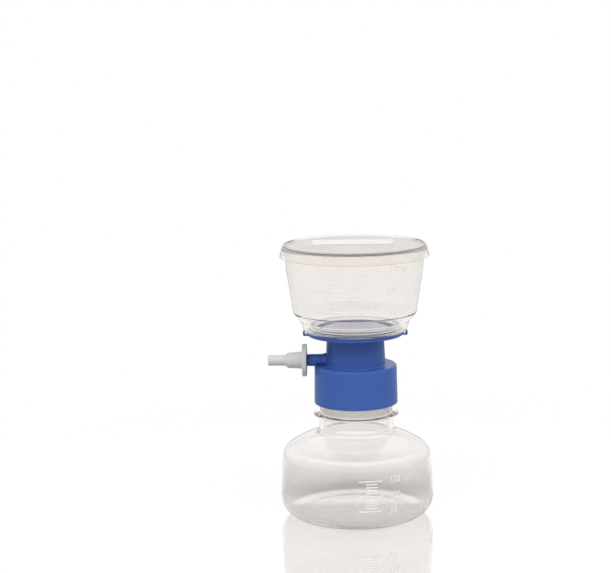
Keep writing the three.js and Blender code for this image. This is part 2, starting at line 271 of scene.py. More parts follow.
# %% [markdown]
# Some pieces are one moulding on the real unit although they are easier to make as several
# solids: a bottle and its thread, an adapter and its arm. They are welded by a Boolean, so that
# clear plastic has no skins inside it where two solids meet.

# %% Weld and cut
def combine(piece, others, operation="UNION"):
    """Joins other solids to a piece, or cuts them out of it, and removes them."""
    for other in others:
        apply_modifier(piece, "BOOLEAN", operation=operation, solver="EXACT", object=other)
        bpy.data.objects.remove(other)


# %% [markdown]
# A thread ridge is a small trapezoid that climbs as it turns. The Screw modifier does exactly
# that. At both ends the crest dies into the wall, as on a moulded thread, where the tool runs out.

# %% Thread ridges
PITCH = 4.0
THREAD_TURNS = 1.5
RIDGE_FOOT = 1.9
RIDGE_CREST = 1.0
RIDGE_SINK = 0.4
FADE_TURNS = 0.12
FADE_SINK = 0.1                 # each end dies this far below the wall
CREST_BAND = 0.05


def thread_ridge(name, wall_r, crest_r, low):
    """A right-hand ridge from a wall to its crest, its lower end at this height."""
    outwards = math.copysign(1, crest_r - wall_r)
    foot_r = wall_r - outwards * RIDGE_SINK
    corners = [
        (foot_r, low - RIDGE_FOOT / 2),
        (crest_r, low - RIDGE_CREST / 2),
        (crest_r, low + RIDGE_CREST / 2),
        (foot_r, low + RIDGE_FOOT / 2),
    ]
    ridge = draw_section(name, corners, upright, closed=True)
    bpy.ops.object.mode_set(mode="OBJECT")
    steps = round(SPIN_STEPS * THREAD_TURNS)
    apply_modifier(ridge, "SCREW", angle=THREAD_TURNS * FULL_TURN, axis="Z", steps=steps,
                   render_steps=steps, screw_offset=THREAD_TURNS * PITCH * MM)
    fade_ends(ridge, wall_r - outwards * FADE_SINK, crest_r, low)
    open_all(ridge)
    bpy.ops.mesh.fill_holes(sides=4)
    face_outwards()
    return ridge


def fade_ends(ridge, end_r, crest_r, low):
    """Lowers the crest towards the wall over the first and last part of a turn."""
    for vertex in ridge.data.vertices:
        radius = math.hypot(vertex.co.x, vertex.co.y) / MM
        if abs(radius - crest_r) > CREST_BAND:
            continue
        height = vertex.co.z / MM - low
        turns = (height - math.copysign(RIDGE_CREST / 2, centred(vertex.co, low))) / PITCH
        fullness = min(1, turns / FADE_TURNS, (THREAD_TURNS - turns) / FADE_TURNS)
        new_radius = end_r + (crest_r - end_r) * max(fullness, 0)
        vertex.co.x *= new_radius / radius
        vertex.co.y *= new_radius / radius


def centred(point, low):
    """How far a point lies above or below the middle line of its ridge."""
    turn = (math.atan2(point.y, point.x) % FULL_TURN) / FULL_TURN
    climbed = (point.z / MM - low) / PITCH - turn
    return climbed - round(climbed)


# %% [markdown]
# ## Receiver bottle
# A blown bottle: the base is dished inside a standing ring, the side leans in slightly towards
# the shoulder so that it leaves the mould, and the neck carries a transfer bead. The plastic
# stretches least at the neck, so the wall is thickest there. The bead is drawn into the outer
# line after the wall's inside has been worked out, because on a blown bottle it is solid.

# %% Turn the bottle
BOTTLE_WALLS = [1.6, 1.6, 1.6, 1.4, 1.6, 1.6, 2.2, 2.2]
BOTTLE_LIP = 87.4
BEFORE_NECK = 7                 # corners from the base to the foot of the neck
NECK_R = 21.4
NECK_CREST_R = 22.45
NECK_THREAD_LOW = 78.4

bottle_outside = [
    (0, 0.5),
    (29.5, 0.5, 8),
    (33.6, 0, 5),
    (46.4, 0, 12.5),
    (44.1, 40.2, 8),
    (33.8, 46.3, 30),
    (22.4, 51.3, 3),
    (NECK_R, 69, 12),
    (NECK_R, BOTTLE_LIP),
]
transfer_bead = [
    (21.86, 61.0, 0.3),
    (25.2, 61.25, 0.15),
    (25.2, 62.15, 0.15),
    (21.78, 62.4, 0.3),
]
bottle_corners = vessel(bottle_outside, BOTTLE_WALLS, lip=0.5)
bottle_corners[BEFORE_NECK:BEFORE_NECK] = transfer_bead
bottle = turned("clear_bottle", bottle_corners)
combine(bottle, [thread_ridge("neck_thread", NECK_R, NECK_CREST_R, NECK_THREAD_LOW)])
tell(bottle)

# %% [markdown]
# ## Neck adapter
# The blue moulding screws onto the bottle, carries the funnel on its flange, and drains the
# membrane into a spout. It is one closed section: up the outside, over the flange and the
# land, down the drained floor into the spout, and back up under the roof. Heights are written
# above the collar's mouth, as on the moulder's drawing.

# %% Turn the adapter's body
ADAPTER_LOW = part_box("neck_adapter")[0].z / MM
BORE_R = 22.95
COLLAR_CREST_R = 21.95
COLLAR_THREAD_LOW = 8.786
FLANGE_R = 28.4
FLANGE_TOP = 43.2
LAND_INNER_R = 22.4
LAND_TOP = 44.8
DRAIN_LOW = 42.2


def above(level, corners):
    """The same corners, higher by this level."""
    return [(radius, height + level, *rounding) for radius, height, *rounding in corners]


adapter_corners = [
    (24.8, 0, 0.4),
    (24.4, 23, 1.3),
    (17.8, 23, 0.8),
    (16.9, 41.1, 1.2),
    (FLANGE_R, 41.1, 0.6),
    (FLANGE_R, FLANGE_TOP, 0.6),
    (24.9, FLANGE_TOP, 0.2),
    (24.9, LAND_TOP, 0.4),
    (LAND_INNER_R, LAND_TOP, 0.2),
    (LAND_INNER_R, 43.4, 0.2),
    (4.7, DRAIN_LOW, 1.5),
    (3.9, 41.2),
    (3.3, 21.6, 0.2),
    (4.5, 21.6, 0.2),
    (5.6, 40.4, 1.5),
    (15.2, 40.4, 1.5),
    (16.1, 21.1, 0.3),
    (BORE_R, 21.1, 0.4),
    (BORE_R, 2, 0.3),
    (23.55, 0, 0.2),
]
adapter = turned("blue_adapter", above(ADAPTER_LOW, adapter_corners), closed=True)
tell(adapter)

# %% [markdown]
# ## Ribs under the membrane
# Radial ribs hold the membrane off the floor, so that filtrate can run to the spout. Every
# second rib is short, to leave the centre open. One bar is a cube with its upper edges
# bevelled, and Spin's duplicates repeat it round the axis.

# %% Drain ribs
DRAIN_RIBS = 24
RIB_THICKNESS = 0.9
RIB_SINK = 0.5                  # how far a rib runs into the floor and the wall
RIB_DROP = 0.15                 # rib tops lie this much below the land
LONG_RIB_FROM = 6.2
SHORT_RIB_FROM = 12.5


def radial_bar(name, radii, levels, thickness):
    """A bar that runs outwards along +X, with its upper edges eased."""
    bar = added(
        name, bpy.ops.mesh.primitive_cube_add, size=1,
        location=(sum(radii) / 2 * MM, 0, sum(levels) / 2 * MM),
        scale=((radii[1] - radii[0]) * MM, thickness * MM, (levels[1] - levels[0]) * MM),
    )
    bpy.ops.object.transform_apply()
    open_all(bar)
    pick(bar, lambda point: point.z > sum(levels) / 2 * MM)
    bpy.ops.mesh.bevel(offset=thickness / 4 * MM, segments=2)
    bpy.ops.object.mode_set(mode="OBJECT")
    return bar


def repeat_round(piece, count):
    """Repeats a mesh round Z, count times over a turn, the first where it is."""
    open_all(piece)
    bpy.ops.mesh.spin(steps=count - 1, dupli=True, angle=FULL_TURN * (count - 1) / count,
                      center=(0, 0, 0), axis=(0, 0, 1))
    bpy.ops.object.mode_set(mode="OBJECT")


def rotate_round(piece, angle):
    """Turns a mesh round Z by an angle, anticlockwise from above."""
    open_all(piece)
    bpy.ops.transform.rotate(value=-angle, orient_axis="Z", center_override=(0, 0, 0))
    bpy.ops.object.mode_set(mode="OBJECT")


def joined(pieces):
    """One object out of several."""
    bpy.ops.object.select_all(action="DESELECT")
    for piece in pieces:
        piece.select_set(True)
    bpy.context.view_layer.objects.active = pieces[0]
    bpy.ops.object.join()
    return pieces[0]


rib_levels = (ADAPTER_LOW + DRAIN_LOW - RIB_SINK, ADAPTER_LOW + LAND_TOP - RIB_DROP)
rib_end = LAND_INNER_R + RIB_SINK
long_ribs = radial_bar("drain_ribs", (LONG_RIB_FROM, rib_end), rib_levels, RIB_THICKNESS)
repeat_round(long_ribs, DRAIN_RIBS // 2)
short_ribs = radial_bar("short_ribs", (SHORT_RIB_FROM, rib_end), rib_levels, RIB_THICKNESS)
rotate_round(short_ribs, FULL_TURN / DRAIN_RIBS)
repeat_round(short_ribs, DRAIN_RIBS // 2)
drain_ribs = joined([long_ribs, short_ribs])
print("drain ribs:", DRAIN_RIBS)

# %% [markdown]
# ## Catches on the flange
# Two small hooks stand out of the flange, one on each side. Their profile is drawn flat, its
# tip rounded by vertex bevels, filled, and extruded across the width. The second hook is the
# first one turned through half a circle.

# %% Hooked catches
CATCH_WIDTH = 5.0
CATCH_EDGE = 0.2
CATCH_LOW = ADAPTER_LOW + 40.6


def across_catch(radius, height):
    """A corner of the hook's profile, on the side that faces +Y."""
    return Vector((radius * MM, CATCH_WIDTH / 2 * MM, height * MM))


hook_corners = above(CATCH_LOW, [
    (27.2, 0),
    (31.0, 0, 1.0),
    (31.0, 2.7, 0.45),
    (30.0, 2.7, 0.45),
    (29.9, 0.8, 0.35),
    (27.2, 0.8),
])
catches = draw_section("catches", hook_corners, across_catch, closed=True)
bpy.ops.mesh.select_all(action="SELECT")
bpy.ops.mesh.edge_face_add()
bpy.ops.mesh.extrude_region_move(TRANSFORM_OT_translate={"value": (0, -CATCH_WIDTH * MM, 0)})
face_outwards()
apply_modifier(catches, "BEVEL", width=CATCH_EDGE * MM, segments=2, limit_method="ANGLE")
repeat_round(catches, 2)
tell(catches)

# %% [markdown]
# ## Vacuum arm
# The arm leaves the waist of the adapter along -X and narrows to a spigot for the hose
# connector. It is turned about its own axis. After all the solids are welded, the passage is
# cut through them from the tip into the waist.

# %% Arm, thread and passage
ARM_AXIS = ADAPTER_LOW + 25.6
ARM_STEPS = 72


def on_arm(radius, distance):
    """A corner of a piece on the arm, this far from the main axis towards -X."""
    return Vector((-distance * MM, 0, (ARM_AXIS + radius) * MM))


def turned_on_arm(name, corners, closed=False):
    """A piece turned about the arm's axis. Its corners are [radius, distance, rounding]."""
    return turned(name, corners, closed, place=on_arm, centre=(0, 0, ARM_AXIS * MM),
                  axis=(1, 0, 0), steps=ARM_STEPS)


arm = turned_on_arm("arm", [
    (0, 16.4),
    (4.2, 16.4),
    (4.2, 18.0, 0.5),
    (3.63, 19.8, 2),
    (3.63, 28.7, 0.4),
    (3.0, 28.7, 0.2),
    (3.0, 38.7, 0.4),
    (0, 38.7),
])
passage = turned_on_arm("passage", [(0, 13.4), (1.8, 13.4), (1.8, 39.2), (0, 39.2)])
collar_thread = thread_ridge("collar_thread", BORE_R, COLLAR_CREST_R,
                             ADAPTER_LOW + COLLAR_THREAD_LOW)
combine(adapter, [collar_thread, arm, drain_ribs, catches])
combine(adapter, [passage], "DIFFERENCE")
tell(adapter)

# %% [markdown]
# ## Gasket, plug and hose connector
# The gasket closes the gap between the bottle's lip and the collar's roof. The fibre plug sits
# in the arm's passage and keeps moisture out of the vacuum line. The connector is a stepped
# barb with a wide finger flange.

# %% Gasket and plug
SEAL_LOW, SEAL_HIGH = (corner.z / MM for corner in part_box("neck_seal"))
seal = turned("gasket", [
    (19.9, SEAL_LOW, 0.2),
    (22.6, SEAL_LOW, 0.35),
    (22.6, SEAL_HIGH, 0.35),
    (19.9, SEAL_HIGH, 0.2),
], closed=True)
plug = turned_on_arm("fibre_plug", [(0, 29.2), (1.5, 29.2, 0.35), (1.5, 37.2, 0.35), (0, 37.2)])

# %% Hose connector
CONNECTOR_START = -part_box("tubing_adapter")[1].x / MM
connector = turned_on_arm("hose_connector", above(CONNECTOR_START, [
    (9.7, 0, 0.45),
    (9.7, 2.7, 0.45),
    (5.1, 2.7, 0.5),
    (4.6, 11.3, 0.35),
    (3.2, 12.9, 0.6),
    (3.2, 23.05, 0.8),
    (1.7, 23.05, 0.2),
    (1.7, 10.6),
    (3.35, 10.6),
    (3.35, 0, 0.3),
]), closed=True)
tell(connector)

# %% [markdown]
# ## Membrane
# The filter is a disc of paper-thin porous sheet, sealed to the land near its rim. The heated
# tool that seals it leaves a ring pressed a little lower, so the section is turned with that
# shallow groove in it. A plain cylinder would do for the outline, but not for the way the ring
# catches the light.

# %% Membrane disc
MEMBRANE_LOW, MEMBRANE_HIGH = (corner.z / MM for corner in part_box("membrane_filter"))
SEALED_FROM, SEALED_TO = 19.5, 23.2
GROOVE_SIDE = 0.2
GROOVE_DEPTH = 0.08
groove_floor = MEMBRANE_HIGH - GROOVE_DEPTH
membrane = turned("membrane", [
    (0, MEMBRANE_LOW),
    (24.7, MEMBRANE_LOW, 0.05),
    (24.7, MEMBRANE_HIGH, 0.1),
    (SEALED_TO + GROOVE_SIDE, MEMBRANE_HIGH, 0.1),
    (SEALED_TO, groove_floor, 0.1),
    (SEALED_FROM, groove_floor, 0.1),
    (SEALED_FROM - GROOVE_SIDE, MEMBRANE_HIGH, 0.1),
    (0, MEMBRANE_HIGH),
])
tell(membrane)

# %% [markdown]
# ## Funnel
# The upper chamber is a clear funnel: a small bowl that sits on the flange, a shoulder, and a
# tapered wall up to the rim. Its wall is even, so the inside follows from the outer line as the
# bottle's does. Where the inside comes down to the floor, the line goes on as listed: across a
# shallow trough, over the mouth's raised edge, and into the recess that drops over the land.

# %% Turn the funnel
FUNNEL_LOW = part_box("upper_chamber")[0].z / MM
FUNNEL_WALLS = [1.4, 1.4, 1.4, 1.4]
TROUGH_FLOOR = 1.4
*funnel_sides, foot = vessel([
    (30.4, 0, 2.4),
    (32.3, 6.1, 0.8),
    (36.5, 11.3, 1.4),
    (40.25, 35.8, 50),
    (41.2, 49.5),
], FUNNEL_WALLS, lip=0.4)
bowl = funnel_sides[-1]
climb = (TROUGH_FLOOR - foot[1]) / (bowl[1] - foot[1])
trough_r = foot[0] + climb * (bowl[0] - foot[0])
funnel = turned("clear_funnel", above(FUNNEL_LOW, [
    *funnel_sides,
    (trough_r, TROUGH_FLOOR, 1.2),
    (26.9, TROUGH_FLOOR, 0.4),
    (26.7, 3.7, 0.4),
    (23.6, 3.7, 0.3),
    (23.6, 2.2, 0.2),
    (25.3, 2.2, 0.2),
    (25.3, 0, 0.2),
]), closed=True)
print(f"trough radius {trough_r:.2f} mm")
tell(funnel)

# %% [markdown]
# ## Lid
# The lid is a flat panel, sunk inside a raised rim so that units stack, with a flared skirt.
# Small ribs inside the skirt centre it on the funnel. They stand at fifteen places only, so
# they can't be part of the section: one bar is repeated round, and all are welded on.

# %% Turn the lid
LID_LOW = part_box("chamber_lid")[0].z / MM
LID_RIBS = 15
PANEL_HEIGHT = 6.4
PANEL_TOP = LID_LOW + PANEL_HEIGHT
lid = turned("clear_lid", above(LID_LOW, [
    (0, 5.3),
    (41.75, 5.3, 0.3),
    (43.1, 0, 0.3),
    (44.15, 0, 0.4),
    (42.9, 4.4, 2),
    (42.8, 5.9, 0.3),
    (42.2, 6.1, 0.2),
    (42.0, 7.4, 0.15),
    (41.0, 7.4, 0.15),
    (40.7, PANEL_HEIGHT, 0.3),
    (0, PANEL_HEIGHT),
]))
lid_ribs = radial_bar("lid_ribs", radii=(41.6, 42.3), levels=(LID_LOW + 1.4, LID_LOW + 5.5),
                      thickness=0.7)
rotate_round(lid_ribs, FRONT)
repeat_round(lid_ribs, LID_RIBS)
combine(lid, [lid_ribs])
tell(lid)

# %% [markdown]
# A white field for notes is printed on the panel, behind its middle. It could be a mask in the
# lid's material, but ink is a film of its own. So it is a plane with its four corners rounded,
# extruded by the thickness of a coat of ink, its lower face just inside the panel.

# %% The lid's writing field
FIELD_CENTRE = (-1.0, 12.8)
FIELD_SIZE = (48.0, 21.2)
FIELD_CORNER = 2.0
INK = 0.06

writing_field = added(
    "writing_field", bpy.ops.mesh.primitive_plane_add, size=1,
    location=(FIELD_CENTRE[0] * MM, FIELD_CENTRE[1] * MM, (PANEL_TOP - INK / 2) * MM),
)
writing_field.scale = (FIELD_SIZE[0] * MM, FIELD_SIZE[1] * MM, 1)
bpy.ops.object.transform_apply()
open_all(writing_field)
bpy.ops.mesh.bevel(offset=FIELD_CORNER * MM, segments=6, affect="VERTICES")
bpy.ops.mesh.select_all(action="SELECT")
bpy.ops.mesh.extrude_region_move(TRANSFORM_OT_translate={"value": (0, 0, 1.5 * INK * MM)})
face_outwards()
tell(writing_field)

# %% [markdown]
# ## Scales
# The figures and strokes of both scales stand out of the wall by the depth of an etching in the
# mould, and their rough face looks white. They are laid out flat in front of the piece, as on
# the mould maker's drawing, pressed onto the wall by a Shrinkwrap that projects them straight
# back, and thickened by Solidify. They stay pieces of their own: cut into the wall, they would
# break up its long smooth faces. A stroke is modelled once and copied upwards.

# %% Strokes and figures
SHEET_Y = -60 * MM              # the flat sheet stands this far in front of the axis
MARK_HEIGHT = 0.2
STROKE = 0.7
STROKE_FACES = 8                # along a stroke, so that it can follow the wall
FIGURE_SIZE = 5.6
NARROWED = 0.8
BOLDER = 0.012                  # outlines grow by this share of the size


def stroke(name, wall_r, from_degrees, to_degrees, height):
    """A flat stroke between two angles from the front, drawn in front of a round wall."""
    left, right = (wall_r * math.sin(math.radians(a)) for a in (from_degrees, to_degrees))
    piece = added(
        name, bpy.ops.mesh.primitive_grid_add, x_subdivisions=STROKE_FACES, y_subdivisions=1,
        size=1, location=((left + right) / 2 * MM, SHEET_Y, height * MM),
        rotation=(FULL_TURN / 4, 0, 0),
    )
    piece.scale = ((right - left) * MM, STROKE * MM, 1)
    bpy.ops.object.transform_apply()
    return piece


def copy_up(piece, count, pitch):
    """Repeats a flat mesh upwards, count times in all."""
    open_all(piece)
    for _ in range(count - 1):
        bpy.ops.mesh.duplicate_move(TRANSFORM_OT_translate={"value": (0, 0, pitch * MM)})
    bpy.ops.object.mode_set(mode="OBJECT")


def figures(text, wall_r, degrees, height):
    """Flat figures in front of a round wall, made a mesh before they are put in place."""
    angle = math.radians(degrees)
    label = added(
        f"figures_{text}", bpy.ops.object.text_add, rotation=(FULL_TURN / 4, 0, 0),
        location=(wall_r * math.sin(angle) * MM, SHEET_Y, height * MM),
    )
    label.data.body = text
    label.data.size = FIGURE_SIZE * MM
    label.data.offset = BOLDER * FIGURE_SIZE * MM
    label.data.align_x = "CENTER"
    label.data.align_y = "CENTER"
    label.data.resolution_u = 2
    bpy.ops.object.convert(target="MESH")
    label = bpy.context.object
    label.scale = (NARROWED * math.cos(angle), 1, 1)
    bpy.ops.object.transform_apply()
    return label


def press_onto(marks, wall):
    """Projects flat marks straight back onto a wall and gives them their thickness."""
    apply_modifier(marks, "SHRINKWRAP", target=wall, wrap_method="PROJECT", use_project_y=True,
                   use_positive_direction=True, use_negative_direction=False)
    apply_modifier(marks, "SOLIDIFY", thickness=2 * MARK_HEIGHT * MM, offset=0)
    open_all(marks)
    bpy.ops.mesh.remove_doubles(threshold=TOUCHING)
    face_outwards()


# %% [markdown]
# Both scales run from 50 to 150 mL in steps of 10 mL, with a longer stroke at each 50 mL, so
# one function lays out both. Angles are counted in degrees from the front, to the right.

# %% A scale from its strokes and figures
def scale(name, wall, wall_r, low, step, steps_to_long, short_angles, long_angles, labels):
    """Short strokes between three long ones, with figures beside the long ones."""
    short = stroke(name, wall_r, *short_angles, low + step)
    copy_up(short, steps_to_long - 1, step)
    copy_up(short, 2, steps_to_long * step)
    long = stroke("long_strokes", wall_r, *long_angles, low)
    copy_up(long, 3, steps_to_long * step)
    written = [
        figures(text, wall_r, degrees, low + line * steps_to_long * step)
        for text, degrees, line in labels
    ]
    marks = joined([short, long, *written])
    press_onto(marks, wall)
    tell(marks)
    return marks


# %% The bottle's scale
bottle_scale = scale(
    "bottle_scale", bottle, wall_r=45.0, low=14.0, step=1.74, steps_to_long=5,
    short_angles=(6.5, 15.2), long_angles=(1, 19),
    labels=[("50", 27.5, 0), ("100", 29, 1), ("150", 29, 2), ("mL", 40, 2)],
)

# %% The funnel's scale
funnel_scale = scale(
    "funnel_scale", funnel, wall_r=39.6, low=127.4, step=2.5, steps_to_long=5,
    short_angles=(-26, 12), long_angles=(-34, 20),
    labels=[("50", 33, 0), ("100", 32, 1), ("150", 35, 2), ("mL", 47, 2)],
)

# %% [markdown]
# ## Node groups shared by the materials
# Two effects turn up on nearly every moulded piece, so each is a node group, built once. The
# first is the skin that a mould leaves: a very fine grain over slow, shallow waves. The second
# is haze from handling: faint scuffs and fingermarks that only change how glossy a spot is.
# A small helper adds a node and links or sets its inputs.

# %% Node helpers
def add_node(tree, kind, inputs=None, **settings):
    """Adds a node. An input given as a socket is linked, and any other is set."""
    node = tree.nodes.new("ShaderNode" + kind)
    for name, value in settings.items():
        setattr(node, name, value)
    for name, value in (inputs or {}).items():
        if isinstance(value, bpy.types.NodeSocket):
            tree.links.new(value, node.inputs[name])
        else:
            node.inputs[name].default_value = value
    return node


def maths(tree, operation, first, second=0.0, third=0.0):
    """The output of one Math node."""
    node = add_node(tree, "Math", {0: first, 1: second, 2: third},
                    operation=operation)
    return node.outputs[0]


def blend_colours(tree, share, first, second, blend_type="MIX"):
    """The colour between two colours, from the first at 0 to the second at 1."""
    node = add_node(tree, "Mix", {0: share, 6: first, 7: second},
                    data_type="RGBA", blend_type=blend_type)
    return node.outputs[2]


def blend_values(tree, share, first, second):
    """The number between two numbers, from the first at 0 to the second at 1."""
    node = add_node(tree, "Mix", {0: share, 2: first, 3: second}, data_type="FLOAT")
    return node.outputs[0]


def stretch(tree, value, low, high, new_low=0.0, new_high=1.0):
    """A value moved from one range to another, and held inside it."""
    inputs = {"Value": value, "From Min": low, "From Max": high,
              "To Min": new_low, "To Max": new_high}
    return add_node(tree, "MapRange", inputs).outputs[0]


def object_place(tree):
    """Each point's place on the object, in metres."""
    return add_node(tree, "TexCoord").outputs["Object"]


def axes_and_radius(tree):
    """The place split into X, Y and Z, and its distance from the Z axis."""
    axes = add_node(tree, "SeparateXYZ", {0: object_place(tree)}).outputs
    flat = add_node(tree, "CombineXYZ", {0: axes[0], 1: axes[1]}).outputs[0]
    radius = add_node(tree, "VectorMath", {0: flat}, operation="LENGTH").outputs["Value"]
    return axes, radius


def noise(tree, place, size, detail=2.0, roughness=0.5):
    """Soft noise whose blotches have about this size in millimetres, given or as a socket."""
    given = isinstance(size, (int, float))
    per_metre = 1 / (size * MM) if given else maths(tree, "DIVIDE", 1 / MM, size)
    inputs = {"Vector": place, "Scale": per_metre, "Detail": detail, "Roughness": roughness}
    return add_node(tree, "TexNoise", inputs).outputs[0]


def new_group(name, inputs, outputs):
    """An empty node group with named numbers in and out."""
    group = bpy.data.node_groups.new(name, "ShaderNodeTree")
    for socket_name, default in inputs.items():
        socket = group.interface.new_socket(name=socket_name, in_out="INPUT",
                                            socket_type="NodeSocketFloat")
        socket.default_value = default
    for socket_name in outputs:
        group.interface.new_socket(name=socket_name, in_out="OUTPUT",
                                   socket_type="NodeSocketFloat")
    given = group.nodes.new("NodeGroupInput").outputs
    wanted = group.nodes.new("NodeGroupOutput").inputs
    return group, given, wanted


# %% Mould skin and handling haze
def build_mould_skin():
    """Grain and slow waves as a height, and a faint change of tone."""
    group, given, wanted = new_group(
        "Mould skin",
        {"Grain size": 0.25, "Wave size": 9.0, "Wave share": 0.5, "Tone change": 0.05},
        ["Height", "Tone"],
    )
    place = object_place(group)
    grain = noise(group, place, given["Grain size"])
    waves = noise(group, place, given["Wave size"], detail=1.0)
    height = blend_values(group, given["Wave share"], grain, waves)
    change = maths(group, "MULTIPLY", maths(group, "SUBTRACT", waves, 0.5), given["Tone change"])
    group.links.new(height, wanted["Height"])
    group.links.new(maths(group, "ADD", change, 1.0), wanted["Tone"])
    return group


def build_handling_haze():
    """Fine scuffs and soft fingermarks, as a share of haze."""
    group, given, wanted = new_group(
        "Handling haze", {"Scuffs": 0.4, "Fingermarks": 0.6}, ["Haze"])
    place = object_place(group)
    drawn_out = add_node(group, "Mapping",
                         {"Vector": place, "Rotation": (0.4, 0.7, 0.2), "Scale": (1, 9, 1)})
    scratches = stretch(group, noise(group, drawn_out.outputs[0], 3.0, 6.0, 0.7), 0.62, 0.72)
    smears = stretch(group, noise(group, place, 14.0, 3.0), 0.55, 0.75)
    haze = maths(group, "ADD", maths(group, "MULTIPLY", scratches, given["Scuffs"]),
                 maths(group, "MULTIPLY", smears, given["Fingermarks"]))
    group.links.new(haze, wanted["Haze"])
    return group


mould_skin = build_mould_skin()
handling_haze = build_handling_haze()
print("node groups:", [group.name for group in bpy.data.node_groups])

# %% [markdown]
# ## Clear plastic
# The bottle, the funnel and the lid are glass-clear plastic. A real wall swallows a little
# light, so the base colour is the tint of one wall, and at a grazing angle the way through
# the plastic is longer, so Layer Weight darkens it there. Where a wall is thicker or cloudier,
# such as the bottle's neck or the lid's panel, a zone sets a tint of its own, bounded by height
# or radius. The zone at the bottle's foot is painted shade: it darkens the bottom of the bottle
# to stand for the shadow under and behind it. Shadow rays pass straight through with the tint:
# refraction alone would need very many samples before the lamps reached what is inside. Only
# the values differ between the three pieces.

# %% Clear plastic
PLASTIC_IOR = 1.5


def new_material(name):
    """A material with an empty tree."""
    material = bpy.data.materials.new(name)
    material.use_nodes = True
    material.node_tree.nodes.clear()
    return material


def surface(material, shader):
    """Sends a shader's output to the material's surface."""
    add_node(material.node_tree, "OutputMaterial", {"Surface": shader.outputs[0]})


def bump(tree, height, depth):
    """The normal of a relief, its depth in millimetres."""
    inputs = {"Height": height, "Distance": depth * MM, "Strength": 1.0}
    return add_node(tree, "Bump", inputs).outputs[0]


def let_lamps_through(material, glass, tint, edge_share, edge_shadow):
    """Shadow rays see only the tint of the wall, which is denser where they graze it."""
    tree = material.node_tree
    dense = [channel * edge_shadow for channel in tint[:3]] + [1]
    open_way = add_node(tree, "BsdfTransparent",
                        {"Color": blend_colours(tree, edge_share, tint, dense)})
    is_shadow = add_node(tree, "LightPath").outputs["Is Shadow Ray"]
    return add_node(tree, "MixShader",
                    {0: is_shadow, 1: glass.outputs[0], 2: open_way.outputs[0]})


def clear_plastic(name, tint, edge_tint, roughness, haze_roughness, wave_size, wave_depth,
                  zones=(), edge_shadow=0.8, edge_power=2.0):
    """A clear wall. A zone is a tint and the bounds, by height or radius, where it sets in."""
    material = new_material(name)
    tree = material.node_tree
    skin = add_node(tree, "Group",
                    {"Grain size": 0.4, "Wave size": wave_size, "Wave share": 0.97,
                     "Tone change": 0.05}, node_tree=mould_skin)
    haze = add_node(tree, "Group", {"Scuffs": 0.5, "Fingermarks": 0.5},
                    node_tree=handling_haze)
    axes, radius = axes_and_radius(tree)
    measures = {"height": axes[2], "radius": radius}
    colour = tint
    for zone_tint, *bounds in zones:
        inside = 1.0
        for measure, start, full in bounds:
            inside = maths(tree, "MULTIPLY", inside,
                           stretch(tree, measures[measure], start * MM, full * MM))
        colour = blend_colours(tree, inside, colour, zone_tint)
    facing = add_node(tree, "LayerWeight", {"Blend": 0.35}).outputs["Facing"]
    edge_share = maths(tree, "POWER", facing, edge_power)
    colour = blend_colours(tree, edge_share, colour, edge_tint)
    colour = blend_colours(tree, 1.0, colour, skin.outputs["Tone"], "MULTIPLY")
    glass = add_node(tree, "BsdfPrincipled", {
        "Base Color": colour, "IOR": PLASTIC_IOR, "Transmission Weight": 1.0,
        "Roughness": blend_values(tree, haze.outputs["Haze"], roughness, haze_roughness),
        "Normal": bump(tree, skin.outputs["Height"], wave_depth)})
    surface(material, let_lamps_through(material, glass, tint, edge_share, edge_shadow))
    return material


# %% The three clear pieces
NECK_TINT = (0.52, 0.505, 0.49, 1)
THICK_WALL_AND_SHADE_TINT = (0.86, 0.84, 0.825, 1)
PANEL_TINT = (0.60, 0.56, 0.525, 1)

bottle_plastic = clear_plastic(
    "Clear bottle plastic", (0.91, 0.89, 0.875, 1), edge_tint=(0.60, 0.585, 0.575, 1),
    roughness=0.02, haze_roughness=0.1, wave_size=16.0, wave_depth=0.2,
    zones=[(NECK_TINT, ("height", 62.4, 62.8)),
           (THICK_WALL_AND_SHADE_TINT, ("height", 54, 56), ("height", 61, 60.8)),
           # The lowest zone is painted shade, not a thicker wall: the bottle darkens towards its
           # foot.
           (THICK_WALL_AND_SHADE_TINT, ("height", 15, 3), ("height", 2.2, 2.7))],
    edge_shadow=0.45, edge_power=3.0,
)
funnel_plastic = clear_plastic(
    "Clear funnel plastic", (0.935, 0.912, 0.89, 1), edge_tint=(0.88, 0.86, 0.84, 1),
    roughness=0.01, haze_roughness=0.06, wave_size=12.0, wave_depth=0.03,
)
lid_plastic = clear_plastic(
    "Clear lid plastic", (0.955, 0.922, 0.895, 1), edge_tint=(0.90, 0.875, 0.85, 1),
    roughness=0.1, haze_roughness=0.2, wave_size=20.0, wave_depth=0.06,
    zones=[(PANEL_TINT, ("radius", 40.6, 40.2), ("height", 160.8, 161.2))],
)

# %% [markdown]
# ## Frosting and ink
# The rough faces of the scales and the ink of the writing field are white without being
# solid: part of what lies behind shows through them. A plain Alpha does that. Fine noise in
# the bump gives each its tooth.

# %% Frosting and ink
WHITE = (1, 1, 1, 1)


def white_film(name, colour, cover, roughness, tooth_size, tooth_depth):
    """A thin white film that covers this share of what is behind it."""
    material = new_material(name)
    tree = material.node_tree
    place = object_place(tree)
    tooth = noise(tree, place, tooth_size, 3.0, 0.7)
    patches = noise(tree, place, 5.0, 2.0)
    shade = [channel * 0.95 for channel in colour[:3]] + [1]
    film = add_node(tree, "BsdfPrincipled", {
        "Base Color": blend_colours(tree, patches, colour, shade),
        "Roughness": stretch(tree, tooth, 0.2, 0.8, roughness - 0.1, roughness + 0.1),
        "Alpha": cover, "Normal": bump(tree, tooth, tooth_depth)})
    surface(material, film)
    return material


bottle_frosting = white_film("Bottle scale frosting", WHITE, cover=0.9, roughness=0.6,
                             tooth_size=0.3, tooth_depth=0.04)
funnel_frosting = white_film("Funnel scale frosting", WHITE, cover=0.2, roughness=0.6,
                             tooth_size=0.3, tooth_depth=0.04)
field_ink = white_film("Field ink", (0.83, 0.815, 0.79, 1), cover=0.9, roughness=0.7,
                       tooth_size=0.25, tooth_depth=0.03)

